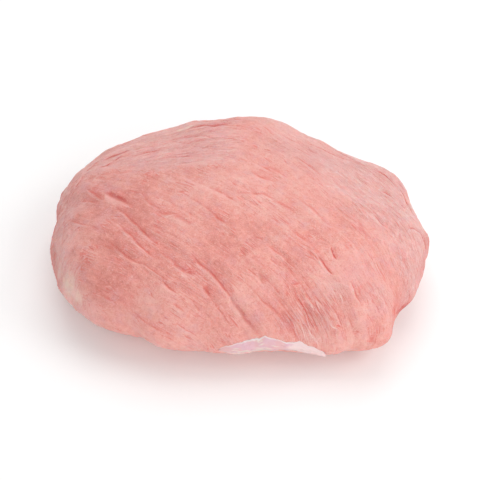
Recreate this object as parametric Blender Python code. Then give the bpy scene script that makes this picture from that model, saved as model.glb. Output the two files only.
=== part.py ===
"""A raw veal top round: one boneless leg muscle with its silverskin mostly trimmed off.

It lies on its flat cut side, long axis along X, with the front edge towards -Y and +Z up.
The origin is at the middle of its footprint, on the surface that it lies on.
"""

import math

import bmesh
import bpy
from mathutils import Matrix, Vector, noise

MM = 0.001

# Driving sizes, in metres
LENGTH = 281 * MM
DEPTH = 224 * MM
HEIGHT = 86 * MM

# The lump's own middle, seen from the middle of its footprint
MIDDLE = Vector((1 * MM, -3 * MM, 0))

# Plan outline: a superellipse, fuller than an ellipse, with lobes where the muscle bulges
OUTLINE_POWER = 2.3
LOBES = (
    # name, direction from above in degrees, half width in degrees, reach in metres
    ("front right lobe", -46, 12, 17 * MM),
    ("right shoulder", -27, 8, 3 * MM),
    ("right tip", -8, 4, 5 * MM),
    ("slope behind the right shoulder", 8, 8, -7 * MM),
    ("back right edge", 26, 7, 3 * MM),
    ("hollow behind the right shoulder", 43, 16, -18 * MM),
    ("slope of the hump", 60, 8, -8 * MM),
    ("hump at the back", 84, 16, 4 * MM),
    ("back left hollow", 125, 6, -5 * MM),
    ("back left shoulder", 146, 5, 1 * MM),
    ("left end", -160, 24, 3 * MM),
    ("nick in the left end", 178, 4, -4 * MM),
    ("front left shoulder", -142, 8, 1 * MM),
    ("front left dip", -130, 6, -5 * MM),
    ("front left hollow", -106, 8, -4 * MM),
    ("front edge", -84, 22, -3 * MM),
)

# The cleft where the front right lobe lies over the right shoulder, and the loose lip of silverskin
CLEFT_DIRECTION = -34
CLEFT_WIDTH = 5
CLEFT_DEPTH = 10 * MM
LIP_DIRECTION = -62
LIP_WIDTH = 6
LIP_REACH = 5 * MM

# Swells and slopes of the upper side
SWELLS = (
    # name, place from above in metres, radius in metres, rise in metres
    ("hump at the back", 14 * MM, 76 * MM, 34 * MM, 6 * MM),
    ("slope at the back right", 98 * MM, 62 * MM, 52 * MM, -15 * MM),
    ("slope at the back left", -92 * MM, 66 * MM, 52 * MM, -8 * MM),
    ("sag along the right", 128 * MM, 8 * MM, 40 * MM, -5 * MM),
    ("flap at the back", -24 * MM, 76 * MM, 17 * MM, 3 * MM),
    ("dip beside the flap", -48 * MM, 72 * MM, 12 * MM, -1.5 * MM),
)

# Side profile
RIM_HEIGHT = 0.36 * HEIGHT
SINK = 9 * MM
TOP_FULLNESS = 0.94
TOP_ROUNDNESS = 0.86
UNDER_FULLNESS = 0.55

# The mesh: a globe lying on its side, whose meridians run with the fibres
MERIDIANS = 112
RINGS = 50
POLE_DIRECTION = math.radians(-36)
BOW = math.radians(21)
TOP_CROWDING = 0.45
SMOOTHINGS = 2

# The skin laid flat: its sides fold out from the top by this share of their drop
UNROLL = 0.8
UNROLL_START = 20 * MM

# The crest from left to right that parts the trimmed face from the filmed slope behind it
CREST_LOW = Vector((-49 * MM, 12 * MM))
CREST_CURVE = 3.1
CREST_WIDTH = 9 * MM
CREST_RISE = 1.6 * MM
CREST_END = 25 * MM

# Fibres bow round a far centre, one for the trimmed face and one for the filmed slope
FACE_CENTRE = Vector((-430 * MM, -530 * MM))
FILM_CENTRE = Vector((-50 * MM, -170 * MM))
BUNDLES = (
    # width across the fibres, length along them, rise on the face, rise on the film, all in metres
    (14 * MM, 95 * MM, 2.0 * MM, 1.0 * MM),
    (8 * MM, 60 * MM, 0.9 * MM, 0.5 * MM),
)
LUMP_SIZE = 46 * MM
LUMP_RISE = 2.2 * MM

# Splits between bundles: their course on the skin laid flat in mm, half width and depth in mm
SPLITS = (
    ("dark pit", ((-107, -2), (-94, -11), (-82, -20)), 5.0, 2.4),
    ("long split on the left", ((-93, -35), (-78, -47), (-65, -61), (-50, -75)), 4.6, 2.2),
    ("torn patch", ((-58, -38), (-48, -41), (-38, -48)), 5.0, 1.4),
    ("split in the middle", ((-37, -81), (-28, -92), (-14, -110), (7, -136), (15, -145)), 4.8, 2.2),
    ("pit beside it", ((-50, -86), (-43, -90), (-35, -92)), 5.0, 1.2),
    ("step at the front left", ((-97, -66), (-84, -78), (-77, -90), (-68, -97)), 5.0, 1.5),
    ("crease on the top", ((-41, -21), (-28, -28), (-16, -42), (1, -55)), 5.0, 1.2),
    ("crease on the right", ((23, -29), (40, -38), (58, -57), (66, -72)), 5.0, 1.2),
    ("slit on the right", ((60, -78), (71, -92)), 4.4, 1.7),
    ("slit at the front", ((45, -111), (59, -127), (65, -135)), 4.6, 1.8),
    ("slit above the lip", ((36, -135), (54, -152)), 4.8, 1.6),
    ("crease into the lobe", ((51, -76), (68, -98), (82, -120), (99, -140)), 5.0, 1.2),
)

# Relief fades out towards the surface that the meat lies on
FADE_START = 3 * MM
FADE_HEIGHT = 12 * MM

MEAT_COLOUR = (0.79, 0.38, 0.34, 1)
MEAT_ROUGHNESS = 0.45


def clamp(value, low=0.0, high=1.0):
    return min(high, max(low, value))


def ease(value):
    """0 to 1 with flat ends."""
    t = clamp(value)
    return t * t * (3 - 2 * t)


def bell(distance, width):
    return math.exp(-((distance / width) ** 2))


def turn_between(angle, other):
    """The difference of two directions, from -180 to 180 degrees."""
    return (angle - other + 180) % 360 - 180


def rim_reach(angle):
    """How far the widest part of the side is from the middle, in the direction angle, in radians."""
    across = abs(math.cos(angle)) / (LENGTH / 2)
    deep = abs(math.sin(angle)) / (DEPTH / 2)
    reach = (across**OUTLINE_POWER + deep**OUTLINE_POWER) ** (-1 / OUTLINE_POWER)
    for _, direction, width, extra in LOBES:
        reach += extra * bell(turn_between(math.degrees(angle), direction), width)
    return reach


def skin_point(direction):
    """The point of the smooth lump that belongs to a direction from its middle."""
    angle = math.atan2(direction.y, direction.x)
    degrees = math.degrees(angle)
    level = math.hypot(direction.x, direction.y)
    reach = rim_reach(angle)
    reach -= CLEFT_DEPTH * bell(turn_between(degrees, CLEFT_DIRECTION), CLEFT_WIDTH) * level**12
    if direction.z >= 0:
        reach *= level**TOP_FULLNESS
        height = RIM_HEIGHT + (HEIGHT - RIM_HEIGHT) * direction.z**TOP_ROUNDNESS
    else:
        reach *= level**UNDER_FULLNESS
        height = RIM_HEIGHT + (RIM_HEIGHT + SINK) * direction.z
        low = ease(1 - height / RIM_HEIGHT)
        reach += LIP_REACH * bell(turn_between(degrees, LIP_DIRECTION), LIP_WIDTH) * low
    place = Vector((reach * math.cos(angle), reach * math.sin(angle), height))
    for _, x, y, radius, rise in SWELLS:
        place.z += rise * max(direction.z, 0) * bell(math.hypot(place.x - x, place.y - y), radius)
    return place + MIDDLE


def laid_flat(place):
    """Where a point of the skin comes to lie when the sides fold out from the top."""
    level = math.hypot(place.x, place.y)
    return place.xy * (1 + UNROLL * (HEIGHT - place.z) / max(level, UNROLL_START))


def crest_distance(flat):
    """How far behind the crest a place is."""
    x = min(flat.x, CREST_END)
    return flat.y - CREST_LOW.y - CREST_CURVE * (x - CREST_LOW.x) ** 2


def film_share(flat):
    """1 on the filmed slope at the back left, 0 on the trimmed face."""
    behind = ease(0.5 + crest_distance(flat) / (2 * CREST_WIDTH))
    return behind * ease(1 - (flat.x - CREST_END) / (3 * CREST_WIDTH))


def along_fibres(flat, centre):
    """A place on the skin as its distance across the fibres and along them."""
    arm = flat - centre
    return arm.length, math.atan2(arm.y, arm.x) * centre.length


def bundle_rise(flat):
    """Long soft ridges that run with the fibres."""
    film = film_share(flat)
    rise = 0
    for width, length, face_rise, film_rise in BUNDLES:
        for share, centre in (((1 - film) * face_rise, FACE_CENTRE), (film * film_rise, FILM_CENTRE)):
            across, along = along_fibres(flat, centre)
            rise += share * noise.noise(Vector((across / width, along / length, width / MM)))
    return rise


def distance_to_stretch(point, start, end):
    stretch = end - start
    share = clamp((point - start).dot(stretch) / stretch.length_squared)
    return (point - start - share * stretch).length


def split_depth(flat):
    """How deep the splits between the bundles are at a place."""
    point = flat / MM
    deepest = 0
    for _, course, half_width, depth in SPLITS:
        nodes = [Vector(node) for node in course]
        distance = min(distance_to_stretch(point, *pair) for pair in zip(nodes, nodes[1:]))
        deepest = max(deepest, depth * bell(distance, half_width))
    return deepest * MM


def relief(place):
    """How far the skin stands out from the smooth lump."""
    flat = laid_flat(place)
    crest = bell(crest_distance(flat), CREST_WIDTH) * ease(1 - (flat.x - CREST_END) / CREST_END)
    rise = bundle_rise(flat) + CREST_RISE * crest - split_depth(flat)
    rise += LUMP_RISE * noise.noise(place / LUMP_SIZE)
    return rise * ease((place.z - FADE_START) / FADE_HEIGHT)


def fibre_globe():
    """A globe with its poles where the fibres gather, and its meridians crowded on the upper side."""
    globe = bmesh.new()
    bmesh.ops.create_uvsphere(globe, u_segments=MERIDIANS, v_segments=RINGS, radius=1)
    for vert in globe.verts:
        along = clamp(vert.co.z, -1, 1)
        round_axis = math.atan2(vert.co.y, vert.co.x)
        round_axis += TOP_CROWDING * math.cos(round_axis)
        radius = math.sqrt(1 - along * along)
        level = Vector((along, radius * math.cos(round_axis), radius * math.sin(round_axis)))
        turn = POLE_DIRECTION - BOW * along * abs(along)
        vert.co = Matrix.Rotation(turn, 3, "Z") @ level
    return globe


def raise_relief(mesh):
    mesh.normal_update()
    moves = [vert.normal * relief(vert.co) for vert in mesh.verts]
    for vert, move in zip(mesh.verts, moves):
        vert.co += move


def soften(mesh):
    """Evens out the creases that fall between two rows of the mesh."""
    for _ in range(SMOOTHINGS):
        bmesh.ops.smooth_vert(
            mesh, verts=mesh.verts, factor=0.5, use_axis_x=True, use_axis_y=True, use_axis_z=True
        )


def flat_foot(mesh):
    """Cuts the lump off at the surface it lies on and closes it with one flat face."""
    geometry = mesh.verts[:] + mesh.edges[:] + mesh.faces[:]
    cut = bmesh.ops.bisect_plane(
        mesh, geom=geometry, plane_co=(0, 0, 0), plane_no=(0, 0, 1), clear_inner=True
    )
    edges = [item for item in cut["geom_cut"] if isinstance(item, bmesh.types.BMEdge)]
    bmesh.ops.contextual_create(mesh, geom=edges)


def centre_footprint(mesh):
    """Puts the middle of the footprint exactly at the origin."""
    for axis in range(2):
        places = [vert.co[axis] for vert in mesh.verts]
        middle = (min(places) + max(places)) / 2
        for vert in mesh.verts:
            vert.co[axis] -= middle


def meat_material():
    material = bpy.data.materials.new("raw veal")
    material.use_nodes = True
    shader = material.node_tree.nodes["Principled BSDF"]
    shader.inputs["Base Color"].default_value = MEAT_COLOUR
    shader.inputs["Roughness"].default_value = MEAT_ROUGHNESS
    return material


def build_meat():
    mesh = fibre_globe()
    for vert in mesh.verts:
        vert.co = skin_point(vert.co)
    raise_relief(mesh)
    soften(mesh)
    flat_foot(mesh)
    centre_footprint(mesh)
    bmesh.ops.recalc_face_normals(mesh, faces=mesh.faces)
    data = bpy.data.meshes.new("veal_top_round")
    mesh.to_mesh(data)
    mesh.free()
    data.materials.append(meat_material())
    data.shade_smooth()
    data.set_sharp_from_angle(angle=math.radians(60))
    return bpy.data.objects.new("veal_top_round", data)


def main():
    for old in list(bpy.data.objects):
        bpy.data.objects.remove(old)
    collection = bpy.data.collections.new("veal_top_round")
    bpy.context.scene.collection.children.link(collection)
    collection.objects.link(build_meat())


main()
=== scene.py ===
# %% [markdown]
# # A raw veal top round
# A top round is one large muscle from the inside of the leg. Butchered, it is a low rounded lump:
# long fibres run through it from end to end, the trimmed face shows them bare, and a thin pale film
# still covers the slopes. This lesson dresses the plain solid of that lump. It makes a finer skin,
# raises the fibres, opens the splits between them, and then gives the whole a moist raw finish.

# %% Load the solid that everything is fitted to
import math

import bmesh
import bpy
import numpy as np
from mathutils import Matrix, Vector, noise
from mathutils.bvhtree import BVHTree


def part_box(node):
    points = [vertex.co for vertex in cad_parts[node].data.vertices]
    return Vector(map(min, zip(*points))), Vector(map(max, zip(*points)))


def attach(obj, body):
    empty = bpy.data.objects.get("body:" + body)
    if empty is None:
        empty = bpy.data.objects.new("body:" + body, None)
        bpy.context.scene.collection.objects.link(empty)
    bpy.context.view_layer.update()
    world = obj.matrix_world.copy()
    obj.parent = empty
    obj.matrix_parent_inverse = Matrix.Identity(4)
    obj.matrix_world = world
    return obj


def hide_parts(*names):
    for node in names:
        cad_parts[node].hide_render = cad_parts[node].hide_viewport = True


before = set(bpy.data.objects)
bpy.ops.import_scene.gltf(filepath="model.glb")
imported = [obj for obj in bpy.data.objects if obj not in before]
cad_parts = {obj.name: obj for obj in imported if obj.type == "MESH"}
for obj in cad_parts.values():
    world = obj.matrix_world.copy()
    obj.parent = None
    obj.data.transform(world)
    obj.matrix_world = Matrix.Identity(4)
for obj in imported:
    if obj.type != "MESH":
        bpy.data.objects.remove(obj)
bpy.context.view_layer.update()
MM = 0.001
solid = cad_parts["veal_top_round"]
low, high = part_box("veal_top_round")
size = high - low
print("solid, mm:", [round(side / MM, 1) for side in size])

# %% [markdown]
# ## The camera
# Food is usually photographed from about 45 degrees above, far enough away that the near side does
# not loom. A long lens does the same here. The camera looks at a point inside the meat, a little in
# front of its middle, because the near side is what shows.

# %% Camera
CAMERA_LENS = 85
CAMERA_ELEVATION = math.radians(45)
CAMERA_DISTANCE = 3 * size.x
LOOK_AT = Vector((0, -16, 36)) * MM


def show(name, data):
    """Puts a camera, a lamp or a mesh in the scene as an object."""
    thing = bpy.data.objects.new(name, data)
    bpy.context.scene.collection.objects.link(thing)
    return thing


def aim(thing, place, target):
    """Stands a thing at a place, so that it looks at a target."""
    thing.location = place
    thing.rotation_euler = (target - place).to_track_quat("-Z", "Y").to_euler()


camera_data = bpy.data.cameras.new("camera")
camera_data.lens = CAMERA_LENS
camera = show("camera", camera_data)
away = Vector((0, -math.cos(CAMERA_ELEVATION), math.sin(CAMERA_ELEVATION)))
aim(camera, LOOK_AT + away * CAMERA_DISTANCE, LOOK_AT)
bpy.context.scene.camera = camera
print("camera at, mm:", [round(value / MM) for value in camera.location])

# %% [markdown]
# ## Soft daylight
# The meat lies in very even light, so its fibres show by small changes of tone. Large area lights
# give that: one stands to the right, one in front, and one hangs above and a little behind. The
# pale air round about lifts the shadows.

# %% Lights
LIGHTS = (
    # name, place in metres, side in metres, power in watts
    ("right window", Vector((1.00, -0.10, 0.95)), 0.7, 4.0),
    ("front window", Vector((0.45, -1.35, 0.50)), 1.1, 7.4),
    ("overhead", Vector((0.00, 0.65, 1.30)), 1.2, 8.4),
)
WHITE = (1, 1, 1, 1)
AIR_LIGHT = 0.57

for name, place, side, power in LIGHTS:
    lamp = bpy.data.lights.new(name, "AREA")
    lamp.size = side
    lamp.energy = power
    aim(show(name, lamp), place, LOOK_AT)

air = bpy.data.worlds.new("pale air")
air.use_nodes = True
air_sockets = air.node_tree.nodes["Background"].inputs
air_sockets["Color"].default_value = WHITE
air_sockets["Strength"].default_value = AIR_LIGHT
bpy.context.scene.world = air
bpy.context.scene.view_settings.view_transform = "Standard"
print("lights:", len(LIGHTS))

# %% [markdown]
# ## The floor
# A wide pale plane lies under the meat and takes its soft shadow. It belongs to the picture and
# not to the meat, so it is staged. A faint glow of its own keeps it nearly white.

# %% Floor
FLOOR_SIDE = 8.0
FLOOR_COLOUR = (0.95, 0.95, 0.95, 1)
FLOOR_ROUGHNESS = 0.8
FLOOR_GLOW = 0.06


def as_object(mesh, name):
    """Turns a bmesh into an object in the scene."""
    data = bpy.data.meshes.new(name)
    mesh.to_mesh(data)
    mesh.free()
    return show(name, data)


floor_mesh = bmesh.new()
bmesh.ops.create_grid(floor_mesh, x_segments=1, y_segments=1, size=FLOOR_SIDE / 2)
floor = as_object(floor_mesh, "floor")
paint = bpy.data.materials.new("pale floor")
paint.use_nodes = True
paint_sockets = paint.node_tree.nodes["Principled BSDF"].inputs
paint_sockets["Base Color"].default_value = FLOOR_COLOUR
paint_sockets["Roughness"].default_value = FLOOR_ROUGHNESS
paint_sockets["Emission Color"].default_value = FLOOR_COLOUR
paint_sockets["Emission Strength"].default_value = FLOOR_GLOW
floor.data.materials.append(paint)
print("floor:", FLOOR_SIDE, "m")

# %% [markdown]
# ## A finer skin
# The solid is a mesh of about ten thousand triangles, too coarse for fibres. Its copy is merged,
# its triangles are paired back into the four-sided faces that they came from, and Subdivision
# Surface splits each of those into sixteen. The faces lie in rows along the fibres, so the fine
# rows do too.

# %% Copy the solid and refine it
MERGE = 0.01 * MM
MOST_FOLD = math.radians(50)
MOST_SKEW = math.radians(130)
SKIN_LEVELS = 2


def quad_copy(source, name):
    """A merged copy of a CAD mesh with its foot as one face and its triangles paired."""
    mesh = bmesh.new()
    mesh.from_mesh(source.data)
    bmesh.ops.remove_doubles(mesh, verts=mesh.verts, dist=MERGE)
    foot = [face for face in mesh.faces if all(vert.co.z < MERGE for vert in face.verts)]
    bmesh.ops.dissolve_faces(mesh, faces=foot)
    bmesh.ops.join_triangles(
        mesh, faces=mesh.faces, angle_face_threshold=MOST_FOLD, angle_shape_threshold=MOST_SKEW
    )
    return as_object(mesh, name)


def baked(piece):
    """Makes a piece's modifiers part of its mesh."""
    shown = piece.evaluated_get(bpy.context.evaluated_depsgraph_get())
    data = bpy.data.meshes.new_from_object(shown)
    piece.modifiers.clear()
    piece.data = data


meat = quad_copy(solid, "meat")
subdivision = meat.modifiers.new("finer skin", "SUBSURF")
subdivision.levels = SKIN_LEVELS
subdivision.render_levels = SKIN_LEVELS
baked(meat)
print("skin:", len(meat.data.vertices), "points,", len(meat.data.polygons), "faces")

# %% [markdown]
# ## A map of the skin
# Fibres, splits and film are laid out on a map: the skin laid flat, with its sides folded out from
# the top. On that map the fibres bow round a far centre, like ruts round a bend, so a place's
# distance from the centre says which fibre it is on, and its bearing how far along.

# %% Lay the skin flat
UNROLL = 0.8
UNROLL_START = 20 * MM
LAY_HEIGHT = 86 * MM
FACE_CENTRE = np.array((-430.0, -530.0))
FILM_CENTRE = np.array((-50.0, -170.0))

count = len(meat.data.vertices)


def read_vectors(attribute):
    """One vector for each point of the skin."""
    values = np.empty(count * 3)
    meat.data.vertices.foreach_get(attribute, values)
    return values.reshape(-1, 3)


points = read_vectors("co")
normals = read_vectors("normal")
reach = np.maximum(np.hypot(points[:, 0], points[:, 1]), UNROLL_START)
flat = points[:, :2] / MM * (1 + UNROLL * (LAY_HEIGHT - points[:, 2]) / reach)[:, None]


def along_fibres(centre):
    """Each point's distance in mm across and along fibres that bow round a centre."""
    arm = flat - centre
    bearing = np.arctan2(-arm[:, 0], arm[:, 1])
    return np.hypot(arm[:, 0], arm[:, 1]), -bearing * np.linalg.norm(centre)


face_across, face_along = along_fibres(FACE_CENTRE)
film_across, film_along = along_fibres(FILM_CENTRE)
print("map, mm:", np.ptp(flat, axis=0).round())

# %% Shapes on the map
map_x, map_y = flat.T


def ease(values):
    """0 to 1 with flat ends."""
    t = np.clip(values, 0, 1)
    return t * t * (3 - 2 * t)


def bell(distances, width):
    """1 at no distance, fading over a width."""
    return np.exp(-((distances / width) ** 2))


def grain(across, along, width, length, seed):
    """Smooth noise from -1 to 1, stretched along the fibres."""
    places = zip(across / width, along / length)
    return np.array([noise.noise(Vector((a, b, seed))) for a, b in places])


def even_grain(size, seed):
    """Smooth noise from -1 to 1 with no direction."""
    return grain(map_x, map_y, size, size, seed)


def spot(x, y, radius):
    """1 at a place on the map, fading over a radius, all in mm."""
    return bell(np.hypot(map_x - x, map_y - y), radius)


def strewn(spots):
    """The sum of spots, each with its place, radius and strength."""
    return sum(strength * spot(x, y, radius) for x, y, radius, strength in spots)


def highest(spots):
    """The strongest of such spots at each point."""
    return np.maximum.reduce([strength * spot(x, y, radius) for x, y, radius, strength in spots])


print("points within 40 mm of the map's middle:", (np.hypot(map_x, map_y) < 40).sum())

# %% [markdown]
# ## Bends in the grain
# At a few places the fibres run steeper or flatter than the wide bow. The distance across them is
# shifted there by a share of the distance along them. The share fades away from the place, so the
# fibres turn a little and come back again.

# %% Bend the fibres
BENDS = (
    # place on the map and radius in mm, how much steeper the fibres run there
    (-92, -112, 34, 0.20),
    (96, -78, 30, 0.22),
    (160, -82, 30, -0.24),
    (-112, -22, 28, -0.14),
)

bend = 0
for x, y, radius, steeper in BENDS:
    nearest = np.hypot(map_x - x, map_y - y).argmin()
    bend = bend + steeper * (face_along - face_along[nearest]) * spot(x, y, radius)
face_across = face_across + bend
print("fibres shifted, mm:", bend.min().round(1), "to", bend.max().round(1))

# %% [markdown]
# ## Where the film is
# A crest parts the trimmed face from the slope behind it, which keeps its film. Film also stays on
# the right of one long fibre, except on a bare hump, and round the left end. It is thinner near
# the crest than at the right end, and small patches of it lie low on the front. Fat is left in
# small patches at the left end and along the back.

# %% Film
CREST_LOW = np.array((-49.0, 12.0))
CREST_CURVE = 0.0031
CREST_WIDTH = 9
CREST_END = -15
RIGHT_FILM_START = 706
RIGHT_FILM_WIDTH = 30
THIN_FILM = 0.6
THICKER_START = 40
THICKER_WIDTH = 80
BARE_HUMP = (4, 64, 28)
HUMP_BARENESS = 0.85
LEFT_FILM_START = -122
LEFT_FILM_WIDTH = 26
SLOPE_SHARE = 0.6
RIGHT_SHARE = 0.8
LEFT_SHARE = 0.6
RAGGED_EDGE = 7
RAGGED_SIZE = 17
FILM_SPOTS = (
    # place on the map and radius in mm, how much film
    (112, -111, 14, 0.8),
    (76, -104, 9, 0.5),
    (-45, -157, 10, 0.5),
)

ragged = RAGGED_EDGE * grain(map_x, map_y, 2 * RAGGED_SIZE, RAGGED_SIZE, seed=21)
crest_x = np.minimum(map_x, CREST_END)
behind_crest = map_y - CREST_LOW[1] - CREST_CURVE * (crest_x - CREST_LOW[0]) ** 2 + ragged
left_of_end = ease(1 - (map_x - CREST_END) / (3 * CREST_WIDTH))
slope = ease(0.5 + behind_crest / (2 * CREST_WIDTH)) * left_of_end
right_film = ease((face_across - RIGHT_FILM_START + 2 * ragged) / RIGHT_FILM_WIDTH) * (1 - slope)
right_film *= THIN_FILM + (1 - THIN_FILM) * ease((map_x - THICKER_START) / THICKER_WIDTH)
right_film *= 1 - HUMP_BARENESS * spot(*BARE_HUMP)
left_film = ease((LEFT_FILM_START - map_x + 2 * ragged) / LEFT_FILM_WIDTH)
wrap = np.maximum(slope, left_film)
film = np.maximum.reduce([SLOPE_SHARE * slope, RIGHT_SHARE * right_film, LEFT_SHARE * left_film])
film = np.maximum(film, highest(FILM_SPOTS))
print("mean film:", film.mean().round(2))

# %% Fat
FAT_SPOTS = (
    # place on the map and radius in mm, how fat
    (-150, -86, 12, 1.0),
    (-143, -98, 8, 0.9),
    (-156, -68, 9, 0.5),
    (-163, -70, 5, 0.9),
    (-46, 85, 5, 1.2),
    (-54, 83, 4, 1.0),
    (-66, 80, 3, 0.9),
)
fat = highest(FAT_SPOTS)
print("mean fat:", fat.mean().round(3))

# %% [markdown]
# ## Patches of colour
# No muscle is one even pink. Some patches are a little paler or redder, others have a lilac cast,
# and in some the fibres have parted into strings. Each is a spot on the map. The broad redder ones
# at the left end are partly painted shade there. The skin that turns away at the back and at both
# ends gets painted shade, darker and redder.

# %% Paler and redder places
TINTS = (
    # place on the map and radius in mm, how much paler
    (12, -12, 34, 0.15),
    (46, -26, 24, 0.15),
    (-30, -24, 18, 0.15),
    (96, -143, 26, 0.28),
    (75, -100, 24, 0.20),
    (-66, -134, 26, 0.28),
    (2, -122, 24, 0.20),
    (70, 38, 24, -0.15),
    # The broad redder tints at the left end also paint shade there, as that end lies away from the light.
    (-125, -8, 26, -0.30),
    (-82, -27, 24, -0.20),
    (-108, -106, 26, -0.30),
    (-94, -62, 24, -0.05),
    (-8, -72, 26, -0.10),
    (147, -82, 20, -0.15),
    (-123, -5, 7, -0.50),
    (-137, -26, 6, -0.50),
    (-145, -28, 5, -0.40),
    (-136, -59, 6, -0.50),
    (-97, -65, 6, -0.40),
    (-130, -77, 6, -0.30),
    (-153, 11, 6, -0.50),
    (155, -99, 8, -0.80),
    (165, -89, 7, -0.60),
    (128, -118, 12, 0.25),
    (40, -134, 7, -0.40),
)
tint = strewn(TINTS)
print("tints:", tint.min().round(2), "to", tint.max().round(2))

# %% Lilac places
LILACS = (
    # place on the map and radius in mm, how lilac
    (-110, 4, 7, 0.9),
    (-134, 13, 6, 0.8),
    (-148, -8, 9, 0.4),
    (-21, 72, 9, 0.8),
    (90, -88, 16, 0.5),
    (40, -137, 6, 0.7),
    (15, -134, 5, 0.6),
    (-33, 40, 16, 0.4),
    (-80, 30, 14, 0.4),
    (73, 44, 14, 0.5),
    (109, 49, 6, 0.8),
    (-107, -28, 5, 0.6),
    (-112, -37, 5, 0.6),
)
lilac = strewn(LILACS)
print("mean lilac:", lilac.mean().round(3))

# %% Stringy places and the far side
STRINGY = (
    # place on the map and radius in mm, how stringy
    (60, -134, 24, 1.1),
    (36, -24, 24, 0.3),
    (-46, 7, 26, 0.3),
    (-72, -62, 22, 0.3),
    (-40, -104, 24, 0.5),
    (44, -84, 20, 0.3),
    (104, -92, 22, 0.3),
    (-118, 20, 18, 0.4),
)
TURN_START = 0.45
TURN_WIDTH = 0.3
END_START = 0.78
END_WIDTH = 0.2

stringy = strewn(STRINGY)
# Painted shade: the skin turned away at the back and at both ends is made darker and redder.
turned_back = ease((normals[:, 1] - TURN_START) / TURN_WIDTH)
turned_aside = ease((np.abs(normals[:, 0]) - END_START) / END_WIDTH)
far_side = np.maximum(turned_back, turned_aside)
print("stringy:", stringy.mean().round(2), "far side:", far_side.mean().round(2))
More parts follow.
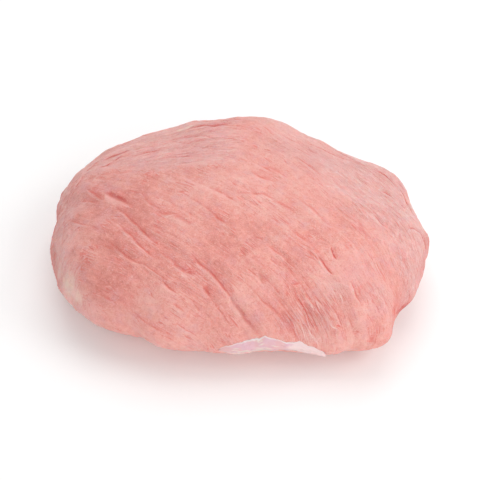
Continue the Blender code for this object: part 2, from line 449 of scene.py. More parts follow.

# %% [markdown]
# ## Splits
# Where the butcher's knife and the weight of the meat pull the bundles apart, red splits open along
# the fibres. Each is a shallow groove that follows a short course on the map. The bundle above it
# rolls down into it, redder as it goes, and the bundle below rises at once to a pale lip. The
# darkest lines get painted shade as well.

# %% List the splits
SPLITS = (
    # name, course on the map in mm, half width and depth in mm, redness, how much painted shade darkens the
    # line
    ("dark pit", ((-111, -1), (-101, -9), (-89, -20)), 3.0, 1.4, 0.9, 0.5),
    ("pale edge of the pit", ((-90, -19), (-84, -24)), 0.9, 0.6, 0.3, 0.0),
    ("crease beside the pit", ((-79, -10), (-69, -24), (-60, -33)), 1.1, 0.5, 0.5, 0.1),
    ("torn patch", ((-62, -35), (-53, -36), (-45, -42), (-37, -48)), 2.4, 0.9, 0.6, 0.1),
    (
        "long split",
        ((-99, -23), (-90, -32), (-79, -46), (-69, -60), (-61, -68), (-52, -73)), 1.3, 0.8, 0.7, 0.05,
    ),
    ("second split", ((-95, -42), (-84, -56), (-76, -68), (-69, -75), (-62, -80)), 1.2, 1.0, 0.7, 0.05),
    ("third split", ((-102, -60), (-95, -67), (-88, -75), (-81, -81), (-73, -83)), 1.2, 0.9, 0.6, 0.1),
    ("step below the long split", ((-69, -62), (-60, -71), (-50, -76), (-39, -77)), 1.0, 0.7, 0.3, 0.0),
    ("pit left of the middle", ((-52, -84), (-45, -90), (-36, -95)), 2.6, 1.2, 0.9, 0.1),
    ("low left split", ((-62, -99), (-57, -106), (-51, -111)), 1.3, 0.6, 0.7, 0.1),
    ("middle split", ((-38, -76), (-30, -87), (-21, -97), (-13, -108), (-5, -121)), 1.4, 1.1, 0.8, 0.1),
    ("trough below it", ((-8, -116), (-5, -121), (5, -136), (16, -147)), 2.3, 1.5, 0.5, 0.4),
    ("short pit", ((-30, -106), (-25, -115)), 1.7, 1.1, 0.9, 0.1),
    ("thread below the pit", ((-25, -115), (-20, -124), (-12, -136), (-6, -144)), 1.0, 0.6, 0.4, 0.1),
    ("thin low split", ((-41, -116), (-34, -128)), 1.0, 0.5, 0.4, 0.0),
    ("second trough", ((16, -118), (26, -125), (38, -135), (47, -143), (56, -152)), 1.5, 0.9, 0.6, 0.1),
    ("slit at the front", ((43, -109), (50, -119), (56, -127), (60, -134), (66, -141)), 0.55, 0.3, 1.2, 0.0),
    ("slit on the right", ((59, -78), (64, -85), (71, -94)), 1.0, 1.2, 1.2, 0.1),
    ("small slit on the right", ((68, -69), (73, -80)), 0.8, 0.8, 1.1, 0.1),
    ("crease in the middle", ((20, -69), (32, -79), (42, -89)), 1.1, 0.6, 0.6, 0.0),
    ("small crease", ((0, -73), (5, -80)), 1.0, 0.5, 0.6, 0.1),
    ("grey crease", ((14, -95), (19, -105)), 1.5, 0.7, 0.2, 0.3),
    ("short crease", ((23, -82), (29, -87)), 1.0, 0.5, 0.5, 0.0),
    ("notch", ((42, -104), (47, -102)), 1.2, 0.5, 0.7, 0.0),
    ("lower slit", ((85, -99), (89, -108), (96, -119)), 0.8, 0.5, 0.6, 0.05),
    ("pit on the lobe", ((117, -137), (119, -145)), 1.8, 1.0, 0.9, 0.1),
    ("dot on the lobe", ((100, -138), (104, -139)), 1.2, 0.5, 0.8, 0.1),
    ("thin front split", ((57, -110), (66, -127), (75, -137)), 0.5, 0.3, 0.7, 0.0),
    ("thin right split", ((48, -58), (58, -76)), 1.0, 0.4, 0.3, 0.0),
    ("crease on the top", ((-38, -22), (-27, -30), (-16, -43), (-6, -51)), 1.6, 0.7, 0.4, 0.0),
    ("crease on the right", ((-2, -19), (17, -19), (35, -31), (42, -38)), 1.5, 0.6, 0.5, 0.0),
    ("second crease on the right", ((43, -22), (53, -31), (62, -44), (68, -49)), 1.7, 0.7, 0.4, 0.0),
    ("line on the right", ((79, -27), (92, -35), (98, -49), (101, -62)), 1.3, 0.6, 0.3, 0.0),
    ("line on the shoulder", ((111, -15), (119, -28), (130, -38)), 1.2, 0.5, 0.2, 0.0),
    ("red spot at the back", ((8, 4), (17, -3), (24, -5)), 1.6, 0.4, 0.7, 0.0),
    ("crease into the notch", ((136, -122), (133, -115), (136, -107)), 1.5, 1.2, 0.4, 0.1),
    ("thread beside the slit", ((50, -121), (56, -132), (64, -143)), 0.5, 0.4, 0.3, 0.0),
    ("red line at the top left", ((-96, 59), (-108, 56), (-117, 54), (-122, 51)), 1.6, 1.4, 1.1, 0.1),
    ("second red line there", ((-96, 50), (-107, 47), (-115, 37), (-125, 37)), 1.5, 1.2, 1.0, 0.0),
    ("third red line there", ((-128, 51), (-133, 47), (-136, 38)), 1.2, 1.0, 0.9, 0.1),
    ("dark line at the left end", ((-142, 35), (-148, 25)), 1.1, 1.0, 1.0, 0.3),
    ("line inside it", ((-138, 28), (-145, 17)), 0.9, 0.8, 0.8, 0.1),
    ("fold behind the crest", ((-75, 33), (-58, 34), (-41, 31), (-27, 24)), 1.3, 0.6, 0.4, 0.0),
    ("second fold behind it", ((-95, 44), (-79, 48), (-64, 47)), 1.3, 0.7, 0.6, 0.0),
    ("fold on the crest", ((-133, 22), (-118, 22), (-102, 18), (-79, 14)), 1.4, 0.6, 0.3, 0.0),
    ("long fold down the left end", ((-156, 8), (-153, -15), (-151, -31), (-152, -48)), 1.3, 0.6, 0.4, 0.0),
    ("red fold beside the pit", ((-129, 8), (-121, -1), (-113, -10)), 1.5, 0.5, 0.8, 0.0),
    ("fold below the flap", ((-61, 64), (-48, 64), (-33, 58), (-21, 51)), 1.4, 0.6, 0.5, 0.0),
    ("edge of the flap", ((-50, 80), (-34, 76), (-21, 71), (-6, 72)), 1.6, 1.4, 0.9, 0.2),
    ("red edge at the back", ((-20, 80), (-7, 81), (4, 83)), 1.5, 1.0, 1.1, 0.1),
    ("first fold on the right", ((57, 66), (75, 68), (94, 61), (106, 57), (116, 52)), 1.4, 0.9, 0.6, 0.0),
    ("red fold on the shoulder", ((125, 49), (137, 45), (141, 39), (146, 32)), 1.6, 1.2, 1.1, 0.1),
    ("red line at the right edge", ((150, 35), (154, 23), (158, 9), (160, -4)), 1.2, 1.0, 1.1, 0.1),
    ("red dash on the shoulder", ((127, 15), (137, 11)), 1.2, 0.8, 1.2, 0.1),
    ("second red dash", ((144, 4), (149, -2)), 1.2, 0.7, 1.0, 0.1),
    ("fold on the right", ((107, -25), (114, -37), (123, -41)), 1.2, 0.6, 0.4, 0.0),
    (
        "crease round the pale bulge",
        ((74, -26), (84, -34), (93, -40), (95, -50), (100, -60)), 1.5, 0.9, 0.3, 0.0,
    ),
    (
        "fold at the right tip",
        ((142, -32), (150, -30), (158, -30), (166, -36), (171, -44)), 1.4, 1.6, 0.9, 0.1,
    ),
    ("red dot beside the hook", ((82, -136), (86, -137)), 0.9, 0.4, 1.2, 0.1),
    # This one paints the shadow under the bulge above the notch, red and dark, over a shallow groove.
    ("painted shadow above the notch", ((146, -112), (156, -103), (166, -93), (172, -84)), 2.4, 0.6, 1.2, 0.5),
    ("fold on the hump", ((23, 68), (36, 66), (51, 61), (64, 51)), 1.3, 0.5, 0.3, 0.0),
)
print("splits:", len(SPLITS))

# %% Measure from a course
WOBBLE = 0.9
WOBBLE_SIZE = 9
WOBBLE_SEEDS = (3, 5)

wobble = np.column_stack([even_grain(WOBBLE_SIZE, seed) for seed in WOBBLE_SEEDS])
wobbled = flat + WOBBLE * wobble


def beside(course):
    """Each point's distance from a course, above 0 on its upper right, and how far along, 0 to 1."""
    nodes = [np.array(node, float) for node in course]
    lengths = [np.linalg.norm(end - start) for start, end in zip(nodes, nodes[1:])]
    gap = np.full(count, np.inf)
    share = np.zeros(count)
    run = 0
    for start, end, length in zip(nodes, nodes[1:], lengths):
        way = (end - start) / length
        arm = wobbled - start
        along = np.clip(arm @ way, 0, length)
        offset = arm - along[:, None] * way
        distance = np.linalg.norm(offset, axis=1)
        nearer = distance < np.abs(gap)
        side = np.where(way[0] * arm[:, 1] - way[1] * arm[:, 0] < 0, -1, 1)
        gap[nearer] = (distance * side)[nearer]
        share[nearer] = (run + along[nearer]) / sum(lengths)
        run += length
    return gap, share


print("lines wobble by up to, mm:", (WOBBLE * np.abs(wobble).max()).round(2))

# %% [markdown]
# ## The shape of a split
# A split is widest and reddest in the middle of its course and thins out at both ends. Real ones
# are never even, so noise breaks each of them into stronger and weaker stretches.

# %% Open the splits
SPLIT_DEPTH = 0.45
SPLIT_SHADE_SHARE = 0.6
NARROW_END = 0.4
PALE_END = 0.2
ROLL_SHARE = 0.4
ROLL_WIDTH = 3.2
LIP_SHARE = 0.22
LIP_PLACE = 2.0
LIP_WIDTH = 1.3
FAR_AWAY = 9.0
WHOLE = 0.65
BREAK_SIZE = 7
BREAK_CONTRAST = 1.6

unbroken = ease(0.5 + BREAK_CONTRAST * even_grain(BREAK_SIZE, seed=17))
split_rise = np.zeros(count)
split_place = np.full(count, FAR_AWAY)
split_red = np.zeros(count)
split_dark = np.zeros(count)


def open_split(gap, share, half_width, depth, redness, painted_shade, whole=WHOLE):
    """Opens a groove along a line, given each point's distance from it and share of its length.

    The noise that breaks the split leaves at least the share of it that is whole.
    """
    strong = whole + (1 - whole) * unbroken
    taper = np.sqrt(np.clip(4 * share * (1 - share), 0, 1))
    inside = (share >= 0) & (share <= 1)
    width = half_width * (NARROW_END + (1 - NARROW_END) * taper)
    line = bell(gap, width)
    roll = np.where(gap > 0, bell(gap, ROLL_WIDTH * width), line)
    edge = bell(gap + LIP_PLACE * width, LIP_WIDTH * width) * (gap < 0) * (1 - line)
    form = LIP_SHARE * edge - (1 - ROLL_SHARE) * line - ROLL_SHARE * roll
    split_rise[:] += inside * strong * depth * form
    place = np.clip(gap / width, -FAR_AWAY, FAR_AWAY)
    nearer = inside & (np.abs(place) < np.abs(split_place))
    split_place[nearer] = place[nearer]
    split_red[nearer] = (redness * strong * (PALE_END + (1 - PALE_END) * taper))[nearer]
    split_dark[nearer] = (painted_shade * taper)[nearer]


for name, course, half_width, depth, redness, painted_shade in SPLITS:
    gap, share = beside(course)
    open_split(gap, share, half_width, SPLIT_DEPTH * depth, redness, SPLIT_SHADE_SHARE * painted_shade)
print("deepest split, mm:", -split_rise.min().round(1))

# %% [markdown]
# ## Pale threads and painted glints
# Some fibres have torn loose beside the splits and lie on the flesh as pale threads. Some of these
# pale lines are painted glints along the fibres. Each has a short course of its own and is palest
# in the middle.

# %% Pale threads
PALE_THREADS_AND_GLINTS = (
    # course on the map in mm, how pale
    (((51, -134), (55, -140), (61, -151)), 0.8),
    (((56, -129), (60, -137), (64, -143)), 0.8),
    (((60, -141), (70, -150)), 0.8),
    (((66, -145), (76, -154)), 0.7),
    (((46, -136), (52, -146)), 0.6),
    (((76, -134), (79, -137), (84, -139)), 1.0),
    (((61, -116), (66, -124)), 0.7),
    (((58, -119), (62, -126)), 0.5),
    (((78, -110), (83, -118)), 0.8),
    (((71, -104), (75, -111)), 0.6),
    (((-58, -40), (-52, -38), (-46, -38)), 0.5),
    (((-95, -20), (-85, -26)), 0.4),
    (((-84, -60), (-72, -74)), 0.35),
    (((-50, -94), (-40, -98)), 0.3),
    (((-157, 4), (-149, 12)), 0.5),
    (((-154, -28), (-145, -25)), 0.5),
    (((-152, -12), (-143, -6)), 0.5),
)
thread_place = np.full(count, FAR_AWAY)
thread_white = np.zeros(count)
for course, pale in PALE_THREADS_AND_GLINTS:
    gap, share = beside(course)
    nearer = np.abs(gap) < np.abs(thread_place)
    thread_place[nearer] = gap[nearer]
    thread_white[nearer] = (4 * pale * share * (1 - share))[nearer]
print("pale threads:", len(PALE_THREADS_AND_GLINTS))

# %% [markdown]
# ## Small splits
# Between the named splits lie many short, shallow ones. They are strewn at random with a seeded
# draw, so the meat comes out the same each time. Each follows its fibre with a slight drift.

# %% Small splits
SMALL_SPLITS = 230
LOWEST_START = 22 * MM
SMALL_LENGTHS = (9, 40)
SMALL_HALF_WIDTHS = (0.7, 1.2)
SMALL_DRIFTS = (-0.07, 0.07)
SMALL_STRENGTHS = (0.1, 1.0)
SMALL_DEPTH = 0.3
SMALL_REDNESS = 0.6
SMALL_WHOLE = 0.3
SMALL_WOBBLE = 0.5
FILM_PALES = 0.5
SWAY = 2.0
SWAY_SIZE = 26
draw = np.random.default_rng(12)

starts = draw.choice(np.flatnonzero(points[:, 2] > LOWEST_START), SMALL_SPLITS)
sway = SWAY * even_grain(SWAY_SIZE, seed=11)
for start in starts:
    length = draw.uniform(*SMALL_LENGTHS)
    half_width = draw.uniform(*SMALL_HALF_WIDTHS)
    drift = draw.uniform(*SMALL_DRIFTS)
    strength = draw.uniform(*SMALL_STRENGTHS)
    on_film = wrap[start] > 0.5
    across, along = (film_across, film_along) if on_film else (face_across, face_along)
    across = across + sway
    run = along - along[start]
    gap = across - across[start] - drift * run + SMALL_WOBBLE * (wobbled - flat)[:, 0]
    redness = SMALL_REDNESS * strength * (FILM_PALES if on_film else 1)
    open_split(gap, run / length + 0.5, half_width, SMALL_DEPTH * strength, redness, 0, SMALL_WHOLE)
print("small splits:", SMALL_SPLITS)

# %% [markdown]
# ## Fibres
# Bundles of fibres are ridges of several sizes, one inside the other. The size of noise is folded
# at zero, which leaves round ridges with sharp valleys between them, as packed fibres have. A
# little noise without direction makes the flesh lumpy as well.

# %% Raise the fibres
FIBRES = (
    # width across in mm, length along in mm, rise on the face in mm, rise on the film in mm
    (9.0, 60, 0.7, 0.7),
    (4.5, 36, 0.3, 0.8),
    (2.4, 24, 0.2, 0.7),
)
FIRST_FILM_SEED = 7
FOLDED_MIDDLE = 0.2
LUMPY_RISE = 0.45
LUMPY_SIZE = 6


def ridges(across, along, width, length, seed):
    """Round ridges along the fibres, about 0 on the whole."""
    return np.abs(grain(across + sway, along, width, length, seed)) - FOLDED_MIDDLE


fibre_rise = LUMPY_RISE * even_grain(LUMPY_SIZE, seed=31)
for number, (width, length, face_rise, film_rise) in enumerate(FIBRES):
    on_face = ridges(face_across, face_along, width, length, number)
    on_film = ridges(film_across, film_along, width, length, FIRST_FILM_SEED + number)
    fibre_rise += (1 - wrap) * face_rise * on_face + wrap * film_rise * on_film
print("fibres raised, mm:", fibre_rise.min().round(2), "to", fibre_rise.max().round(2))

# %% [markdown]
# ## Lumps at the outline
# The edge of cut meat is never a smooth curve. Low lumps and hollows of less than 2 mm stand where
# its outline swells and dents.

# %% Lumps at the outline
LUMPS = (
    # place on the map and radius in mm, rise in mm
    (-105, 95, 12, -1.7),
    (-160, 40, 12, -1.8),
    (-104, -141, 10, -1.6),
    (182, -42, 8, -1.8),
    (177, -20, 7, 1.6),
    (168, -87, 9, 1.4),
    (111, -153, 8, -1.6),
    (139, -136, 8, 1.5),
    (-44, 107, 9, 1.5),
    (-18, 107, 9, -1.0),
    (80, 90, 10, 1.1),
)
lumps = strewn(LUMPS)
print("lumps, mm:", lumps.min().round(1), "to", lumps.max().round(1))

# %% [markdown]
# ## Moving the skin
# All this relief is added up and moves each point of the skin along its normal. It fades out
# towards the floor, so that the meat still rests on its flat foot, and stays within a millimetre of
# the solid's box at the sides and within it at the top. Under the strip of silverskin the skin is
# bedded a little deeper.

# %% Move the skin
FADE_START = 3 * MM
FADE_HEIGHT = 12 * MM
PROUD = Vector((1.0, 1.0, 0)) * MM
STRIP_START = -15
STRIP_END = 60
STRIP_TOP = (
    (-15, 23), (-12, 27), (0, 32), (5, 34), (13, 36), (17, 38),
    (24, 36), (29, 33), (36, 31), (41, 31), (50, 25), (60, 17),
)
STRIP_BED = 0.2

rise = (fibre_rise + split_rise + lumps) * ease((points[:, 2] - FADE_START) / FADE_HEIGHT)
x, y, z = points.T / MM
under_strip = (x > STRIP_START) & (x < STRIP_END) & (y < 0) & (z < np.interp(x, *zip(*STRIP_TOP)))
rise -= STRIP_BED * under_strip
moved = points + normals * rise[:, None] * MM
moved = np.clip(moved, np.array(low - PROUD), np.array(high + PROUD))
meat.data.vertices.foreach_set("co", moved.ravel())
meat.data.shade_smooth()
meat.data.update()
print("skin moved, mm:", rise.min().round(2), "to", rise.max().round(2))

# %% [markdown]
# ## What the material needs to know
# The finish has to know which fibre a place is on, how near it is to a split and how much film it
# has. These numbers are kept on the points of the mesh as attributes, and its nodes read them.

# %% Keep the map on the skin


def keep(name, values):
    """Stores a number for each point of the skin, or a vector of up to three, under a name."""
    if values.ndim == 1:
        meat.data.attributes.new(name, "FLOAT", "POINT").data.foreach_set("value", values)
        return
    padded = np.zeros((count, 3))
    padded[:, : values.shape[1]] = values
    meat.data.attributes.new(name, "FLOAT_VECTOR", "POINT").data.foreach_set("vector", padded.ravel())


keep("face_fibre", np.column_stack([face_across + sway, face_along]))
keep("film_fibre", np.column_stack([film_across + sway, film_along]))
for name, values in {
    "wrap": wrap,
    "film": film,
    "fat": fat,
    "tint": tint,
    "split_place": split_place,
    "split_red": split_red,
    "split_dark": split_dark,
    "rise": fibre_rise,
    "stringy": stringy,
    "far_side": far_side,
    "lilac": lilac,
    "thread_place": thread_place,
    "thread_white": thread_white,
}.items():
    keep(name, values)
print("kept on the skin:", [item.name for item in meat.data.attributes if item.domain == "POINT"])

# %% [markdown]
# ## Shader maths in plain Python
# A material is a web of nodes. Sums on its numbers are easier to read as Python expressions, so a
# small class wraps a socket and turns each operator into a Math node.

# %% Values and finishes
# A Mix node has sockets of its own for each kind of data. These are the numbers of its colour ones.
MIX_FIRST = 6
MIX_SECOND = 7
MIX_RESULT = 2


class Value:
    """A number that varies over a surface. Sums and products with it add Math nodes."""

    def __init__(self, finish, socket):
        self.finish = finish
        self.socket = socket

    def maths(self, operation, first, second=0.0):
        node = self.finish.add("Math", {"operation": operation}, {0: first, 1: second})
        return Value(self.finish, node.outputs[0])

    def __add__(self, other):
        return self.maths("ADD", self, other)

    def __radd__(self, other):
        return self.maths("ADD", other, self)

    def __sub__(self, other):
        return self.maths("SUBTRACT", self, other)

    def __rsub__(self, other):
        return self.maths("SUBTRACT", other, self)

    def __mul__(self, other):
        return self.maths("MULTIPLY", self, other)

    def __rmul__(self, other):
        return self.maths("MULTIPLY", other, self)

    def swing(self, amount):
        """Noise about one half, made a swing about zero."""
        return (self - 0.5) * amount

    def magnitude(self):
        return self.maths("ABSOLUTE", self)

    def clamped(self):
        node = self.finish.add("Clamp", {}, {"Value": self})
        return Value(self.finish, node.outputs[0])


class Finish:
    """One material, built node by node."""

    def __init__(self, name):
        self.material = bpy.data.materials.new(name)
        self.material.use_nodes = True
        self.tree = self.material.node_tree
        self.shader = self.tree.nodes["Principled BSDF"]

    def add(self, kind, settings, inputs):
        """Adds a node of a kind, makes its settings, then fills its sockets with values or links."""
        node = self.tree.nodes.new("ShaderNode" + kind)
        for name, setting in settings.items():
            if name == "stops":
                self.set_stops(node.color_ramp.elements, setting)
            else:
                setattr(node, name, setting)
        for name, value in inputs.items():
            self.fill(node.inputs[name], value)
        return node

    def set_stops(self, elements, stops):
        """Gives a colour ramp its stops, each with its place and colour."""
        while len(elements) < len(stops):
            elements.new(1)
        for element, (place, colour) in zip(elements, stops):
            element.position = place
            element.color = colour

    def fill(self, socket, value):
        """Links a socket to a value, or sets it to a constant."""
        if isinstance(value, Value):
            value = value.socket
        if isinstance(value, bpy.types.NodeSocket):
            self.tree.links.new(value, socket)
        else:
            socket.default_value = value

    def number(self, kind, settings, inputs, output=0):
        """Adds a node and gives one of its outputs as a value."""
        return Value(self, self.add(kind, settings, inputs).outputs[output])

    def kept(self, name):
        """A number kept on the mesh's points."""
        return self.number("Attribute", {"attribute_name": name}, {}, "Fac")

    def noise_at(self, place, scale, detail=2.0):
        """Noise from 0 to 1 round about 0.5."""
        inputs = {"Vector": place, "Scale": scale, "Detail": detail}
        return self.number("TexNoise", {}, inputs, "Fac")

    def spread(self, value, start, end):
        """0 up to the start, 1 from the end, eased between."""
        settings = {"interpolation_type": "SMOOTHSTEP"}
        inputs = {"Value": value, "From Min": start, "From Max": end}
        return self.number("MapRange", settings, inputs)

    def blend(self, share, first, second):
        """One colour turning into another. The node itself keeps the share between 0 and 1."""
        inputs = {"Factor": share, MIX_FIRST: first, MIX_SECOND: second}
        return self.add("Mix", {"data_type": "RGBA"}, inputs).outputs[MIX_RESULT]

    def layered(self, colour, layers):
        """A colour with further ones laid over it in turn, each by its own share."""
        for share, layer in layers:
            colour = self.blend(share, colour, layer)
        return colour

    def set(self, **sockets):
        """Fills sockets of the Principled shader, given by their names."""
        for name, value in sockets.items():
            self.fill(self.shader.inputs[name.replace("_", " ")], value)


def seen(red, green, blue):
    """A colour as a screen shows it, 0 to 255, turned into the light that it stands for."""
    channels = [(value / 255 + 0.055) / 1.055 for value in (red, green, blue)]
    return (*[value**2.4 for value in channels], 1)


print("white is", seen(255, 255, 255))

# %% [markdown]
# ## Raw veal
# Veal is pale pink flesh, slightly see-through, so light softens inside it. It is redder in the
# splits and valleys, where no film covers it, and paler on the ridges. The film turns it greyish
# lilac and glossier, and fat turns it cream.

# %% Colours of the meat
DEEP_RED = seen(222, 104, 95)
# Painted shade for the darkest lines of the splits.
SPLIT_SHADE_RED = seen(168, 92, 90)
# Its red is kept low, so the redder tints at the left end also paint shade there.
RED_FLESH = seen(217, 139, 129)
FLESH = seen(232, 162, 152)
PALE_FLESH = seen(239, 183, 174)
FILM = seen(243, 184, 179)
FILM_LINE = seen(247, 214, 212)
LIP = seen(240, 198, 194)
LILAC_FLESH = seen(226, 166, 167)
FAT = seen(248, 214, 200)
GLINT = seen(250, 214, 208)
SHADE = seen(190, 112, 104)
# Pale threads, and painted glints along the fibres.
THREAD_GLINT = seen(254, 224, 220)

print("flesh as light:", [round(channel, 2) for channel in FLESH])

# %% [markdown]
# ## Noise along the fibres
# Plain noise has no direction. When it reads the kept map in place of the piece's own coordinates,
# and is stretched one way, it runs along the fibres and bends as they do. The edges of cells that
# are drawn in the same way make the net of wrinkles on the film.

# %% Noise on the meat
flesh = Finish("raw veal")
coordinates = flesh.add("TexCoord", {}, {}).outputs["Object"]
wrapped = flesh.kept("wrap")


def on_fibres(pattern, width, length):
    """A pattern stretched along the face's fibres, which turn to the film's on the filmed slope."""
    values = []
    for name in ("face_fibre", "film_fibre"):
        place = flesh.add("Attribute", {"attribute_name": name}, {}).outputs["Vector"]
        stretch = {"Vector": place, "Scale": (1 / width, 1 / length, 1)}
        values.append(pattern(flesh.add("Mapping", {}, stretch).outputs[0]))
    return values[0] + wrapped * (values[1] - values[0])


def fibre_noise(width, length, detail=2.0):
    """Noise along the fibres, with sizes in mm."""
    return on_fibres(lambda place: flesh.noise_at(place, 1.0, detail), width, length)


def cell_edges(place):
    """Distance from the edges of cells, 0 on an edge."""
    settings = {"feature": "DISTANCE_TO_EDGE", "voronoi_dimensions": "2D"}
    return flesh.number("TexVoronoi", settings, {"Vector": place, "Scale": 1.0}, "Distance")


def even_noise(size, detail=2.0):
    """Noise with no direction, with its size in mm."""
    return flesh.noise_at(coordinates, 1 / (size * MM), detail)


strands = fibre_noise(2.0, 11, 3.0)
bands = fibre_noise(5, 30)
cloud = even_noise(28, 3.0)
mottle = even_noise(3.4, 3.0)
fleck = even_noise(1.9)
speckle = even_noise(1.0, 3.0)
print("nodes so far:", len(flesh.tree.nodes))

# %% [markdown]
# ## Lines along the fibres
# Where noise passes one chosen value, it does so along a thin wandering line. Noise that is
# stretched along the fibres gives long lines, such as threads and creases, and the lines of the
# film. Patches of wider noise keep most of them to some places only.

# %% Threads and creases
filmed = flesh.kept("film")
stringy_here = flesh.kept("stringy")


def line_at(values, middle, inner, outer):
    """1 where a value is within the inner distance of a middle, 0 past the outer."""
    return 1 - flesh.spread((values - middle).magnitude(), inner, outer)


striped = 0.2 + 0.6 * flesh.spread(even_noise(17, 1.0), 0.3, 0.7) + stringy_here * 0.6
creased = flesh.spread(even_noise(13, 1.0), 0.45, 0.65)
crease_noise = fibre_noise(3.4, 40, 1.0)
crease_red = line_at(crease_noise, 0.51, 0.0, 0.035) * creased
crease_lip = line_at(crease_noise, 0.465, 0.0, 0.03) * creased
threads = fibre_noise(1.1, 24, 1.0)
thread_share = (stringy_here * 0.85 + striped.swing(0.2)).clamped()
pale_threads = line_at(threads, 0.58, 0.0, 0.08) * thread_share
red_threads = line_at(threads, 0.42, 0.0, 0.08) * thread_share
white_place = flesh.kept("thread_place") + speckle.swing(0.6)
thread_and_glint_line = line_at(white_place, 0.0, 0.1, 0.65) * flesh.kept("thread_white")
print("nodes so far:", len(flesh.tree.nodes))

# %% Lines and glints of the film
film_net = 1 - flesh.spread(on_fibres(cell_edges, 3.2, 9) + mottle.swing(0.3), 0.0, 0.14)
film_threads = line_at(fibre_noise(3.0, 24), 0.5, 0.0, 0.05)
fine_film_threads = line_at(fibre_noise(1.6, 14), 0.5, 0.0, 0.08)
film_lines = film_threads * 0.5 * striped + fine_film_threads * 0.4 + film_net * 0.5
red_film_lines = line_at(fibre_noise(2.6, 22), 0.44, 0.0, 0.05)
glints = flesh.spread(fibre_noise(1.0, 2.8), 0.61, 0.74)
print("nodes so far:", len(flesh.tree.nodes))

# %% The line, the roll and the lip of a split
split_red_here = flesh.kept("split_red")
split_here = flesh.kept("split_place") + speckle.swing(0.5) + mottle.swing(0.6)
split_line = line_at(split_here, 0.1, 0.2, 1.1)
split_roll = flesh.spread(split_here, -0.8, 0.4) * (1 - flesh.spread(split_here, 0.6, 5.0))
split_lip = line_at(split_here, -1.9, 0.2, 1.5)
print("nodes so far:", len(flesh.tree.nodes))

# %% [markdown]
# ## Laying the colours on
# The grain of the flesh is one tone that runs from red to pale. Everything else is laid over it in
# turn, like washes of thin paint: the film and its lines, lilac patches, threads and creases, the
# splits with painted shade in their darkest lines, the fat, painted shade on the far side, and
# last painted glints and specks of painted shade.

# %% Mix the colour
tone = 0.5 + bands.swing(0.4) + strands.swing(0.8) * striped + cloud.swing(0.95)
tone = tone + mottle.swing(0.7) + fleck.swing(0.4) + speckle.swing(0.2)
tone = tone + flesh.kept("rise") * 0.2 + flesh.kept("tint")
stops = ((0.1, RED_FLESH), (0.5, FLESH), (0.9, PALE_FLESH))
flesh_colour = flesh.add("ValToRGB", {"stops": stops}, {"Fac": tone.clamped()}).outputs[0]

lilac_cloud = flesh.spread(even_noise(8), 0.5, 0.75)
fat_here = flesh.spread(flesh.kept("fat") + strands.swing(0.8), 0.2, 1.0)
layers = (
    # how much of the colour, colour
    (filmed * (0.55 + cloud.swing(1.2) + mottle.swing(0.8)), FILM),
    (filmed * film_lines * 0.9, FILM_LINE),
    (filmed * red_film_lines * 0.4, DEEP_RED),
    (lilac_cloud * 0.5 + flesh.kept("lilac") * (0.3 + 0.8 * mottle), LILAC_FLESH),
    (pale_threads * 0.75, LIP),
    (red_threads * 0.5, DEEP_RED),
    (crease_lip * 0.3, LIP),
    (crease_red * (0.25 + 0.3 * (1 - filmed)), DEEP_RED),
    (split_lip * split_red_here * 0.45, LIP),
    ((split_line * 0.7 + split_roll * 0.4) * split_red_here, DEEP_RED),
    # Painted shade in the darkest split lines.
    (split_line * flesh.kept("split_dark"), SPLIT_SHADE_RED),
    (fat_here * 0.8, FAT),
    # Painted shade on the skin turned away at the back and at the ends.
    (flesh.kept("far_side") * (0.1 + (cloud + mottle) * 0.45), DEEP_RED),
    # Painted glints on the film and the flesh, then specks of painted shade.
    (glints * (0.12 + filmed * 0.8), GLINT),
    (flesh.spread(speckle, 0.55, 0.76) * 0.34, GLINT),
    (flesh.spread(speckle, 0.46, 0.2) * 0.42, SHADE),
    # Pale threads, partly painted glints.
    (thread_and_glint_line * 0.85, THREAD_GLINT),
)
flesh_colour = flesh.layered(flesh_colour, layers)
print("layers of colour:", len(layers))

# %% [markdown]
# ## Fine relief and a moist surface
# The finest strands are too small for the mesh, so a bump makes them: it tilts the light and leaves
# the shape alone. Raw meat is moist, so its roughness changes with the specks, and the film is
# smoother. Red light goes deeper into flesh than green or blue, which warms the shadows.

# %% Meat finish
height = strands.swing(0.4) * striped + speckle.swing(1.0) + mottle.swing(0.4) + fleck.swing(0.4)
height = height + pale_threads * 0.35 - red_threads * 0.2 + thread_and_glint_line * 0.4
height = height + (film_lines - red_film_lines) * filmed * 0.8
height = height + crease_lip * 0.15 - crease_red * 0.25
height = height + (split_lip * 0.15 - split_line * 0.4) * split_red_here
bump = {"Height": height, "Strength": 0.9, "Distance": 0.7 * MM}
flesh.set(
    Base_Color=flesh_colour,
    Roughness=0.5 - filmed * 0.12 + speckle.swing(0.3),
    Normal=flesh.add("Bump", {}, bump).outputs[0],
    Subsurface_Weight=0.7,
    Subsurface_Radius=(1.0, 0.3, 0.2),
    Subsurface_Scale=1.7 * MM,
    Specular_IOR_Level=0.25,
)
meat.data.materials.clear()
meat.data.materials.append(flesh.material)
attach(meat, "root")
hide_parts("veal_top_round")
print("nodes in the finish:", len(flesh.tree.nodes))

# %% [markdown]
# ## The silverskin
# Silverskin is the tough pale sheath round a muscle. It was trimmed off, but one strip still clings
# to the foot of the front edge, with its torn top edge and a loose tip on the right. A grid makes
# it. Each of its points is pushed on to the meat from the front, so that it clings, and its lowest
# part hangs straight down, clear of the floor.

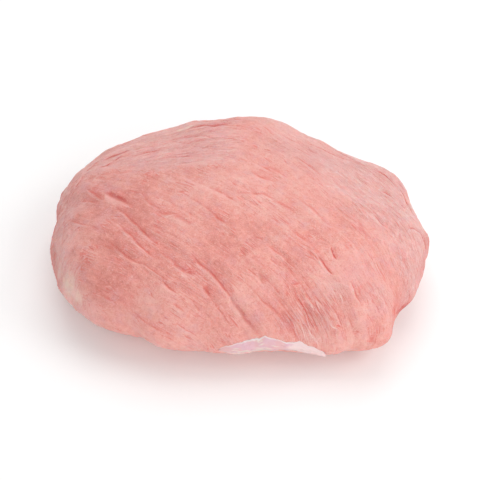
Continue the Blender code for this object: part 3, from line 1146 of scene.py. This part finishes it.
# %% Silverskin strip
STRIP_BOTTOM = (
    (-15, 22), (-8, 17.5), (6, 17.5), (16, 20), (38, 20), (44, 17.5), (50, 15.5), (57, 14.5), (60, 15),
)
HANG_HEIGHT = 20
STRIP_COLUMNS = 120
STRIP_ROWS = 16
STRIP_THICKNESS = 0.15
STRIP_GAP = -0.1
TEARS = (
    # height and length of the tears in mm, seed
    (1.4, 5, 2),
    (0.7, 1.8, 4),
)
FOLD_RISE = 0.7
FOLD_LENGTH = 9
FOLD_HEIGHT = 4
FOLD_SEED = 7
IN_FRONT = 300 * MM
BACKWARDS = Vector((0, 1, 0))

meat_corners = [tuple(place) for place in moved]
meat_faces = [tuple(face.vertices) for face in meat.data.polygons]
meat_tree = BVHTree.FromPolygons(meat_corners, meat_faces)


def on_strip(across, up):
    """The place of a point of the strip, given its shares of the strip's length and height."""
    x = STRIP_START + (STRIP_END - STRIP_START) * across
    torn = sum(tall * noise.noise(Vector((x / long, 0, seed))) for tall, long, seed in TEARS)
    top = np.interp(x, *zip(*STRIP_TOP)) + torn
    bottom = np.interp(x, *zip(*STRIP_BOTTOM))
    z = bottom + (top - bottom) * up
    start = Vector((x * MM, -IN_FRONT, max(z, HANG_HEIGHT) * MM))
    place, normal, _, _ = meat_tree.ray_cast(start, BACKWARDS)
    fold = 1 + noise.noise(Vector((x / FOLD_LENGTH, z / FOLD_HEIGHT, FOLD_SEED)))
    lift = STRIP_GAP + FOLD_RISE * fold * 4 * up * (1 - up)
    hang = Vector((0, 0, min(z - HANG_HEIGHT, 0)))
    return place + (normal * lift + hang) * MM


strip_mesh = bmesh.new()
strip_mesh.loops.layers.uv.new("UVMap")
bmesh.ops.create_grid(
    strip_mesh, x_segments=STRIP_COLUMNS, y_segments=STRIP_ROWS, size=0.5, calc_uvs=True
)
for vert in strip_mesh.verts:
    vert.co = on_strip(vert.co.x + 0.5, vert.co.y + 0.5)
bmesh.ops.recalc_face_normals(strip_mesh, faces=strip_mesh.faces)
strip = as_object(strip_mesh, "silverskin")
strip.data.shade_smooth()
thickness = strip.modifiers.new("thickness", "SOLIDIFY")
thickness.thickness = STRIP_THICKNESS * MM
thickness.offset = 1
print("silverskin:", len(strip.data.polygons), "faces")

# %% [markdown]
# ## The colours of silverskin
# Silverskin is bluish where it is thin over the flesh and white where it is thick. This strip is
# lilac and rose, with cream streaks at the lower left, a paler tip on the right and a painted
# highlight along its torn top edge. Its own UV map says how far along it and how far up a place is.

# %% Silverskin finish
LILAC = seen(239, 179, 190)
ROSE = seen(243, 176, 177)
CREAM = seen(248, 218, 204)
LEFT_END = seen(236, 172, 170)
RIM_HIGHLIGHT = seen(255, 228, 226)
TIP = seen(255, 216, 213)
RIM_HIGHLIGHT_START = 0.88

sheath = Finish("silverskin")
sheath_place = sheath.add("TexCoord", {}, {}).outputs["UV"]
along_strip = sheath.number("SeparateXYZ", {}, {"Vector": sheath_place}, "X")
up_strip = sheath.number("SeparateXYZ", {}, {"Vector": sheath_place}, "Y")


def strip_noise(columns, rows, detail):
    """Noise with about so many patches along the strip and up it."""
    stretch = {"Vector": sheath_place, "Scale": (columns, rows, 1)}
    return sheath.noise_at(sheath.add("Mapping", {}, stretch).outputs[0], 1.0, detail)


streaks = strip_noise(9, 5, 4.0)
blotches = strip_noise(6, 1.5, 2.0)
low_left = (1 - sheath.spread(up_strip, 0.2, 0.7)) * (1 - sheath.spread(along_strip, 0.45, 0.6))
left_end = 1 - sheath.spread(along_strip + streaks.swing(0.2), 0.04, 0.2)
sheath_layers = (
    # how much of the colour, colour
    (sheath.spread(streaks + low_left * 0.16, 0.56, 0.68) * 0.85, CREAM),
    (sheath.spread(along_strip + blotches.swing(0.3), 0.6, 0.7) * 0.85, TIP),
    (left_end * 0.7, LEFT_END),
    # Painted highlight along the torn top edge.
    (sheath.spread(up_strip + streaks.swing(0.2), RIM_HIGHLIGHT_START, 1.0), RIM_HIGHLIGHT),
)
sheath_colour = sheath.blend(sheath.spread(blotches, 0.42, 0.6), LILAC, ROSE)
sheath_bump = {"Height": streaks, "Strength": 0.6, "Distance": 0.4 * MM}
sheath.set(
    Base_Color=sheath.layered(sheath_colour, sheath_layers),
    Roughness=0.3 + streaks.swing(0.2),
    Normal=sheath.add("Bump", {}, sheath_bump).outputs[0],
    Coat_Weight=0.6,
    Coat_Roughness=0.2,
    Subsurface_Weight=0.3,
    Subsurface_Radius=(1.0, 0.5, 0.45),
    Subsurface_Scale=2 * MM,
)
strip.data.materials.append(sheath.material)
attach(strip, "root")
print("nodes in the finish:", len(sheath.tree.nodes))
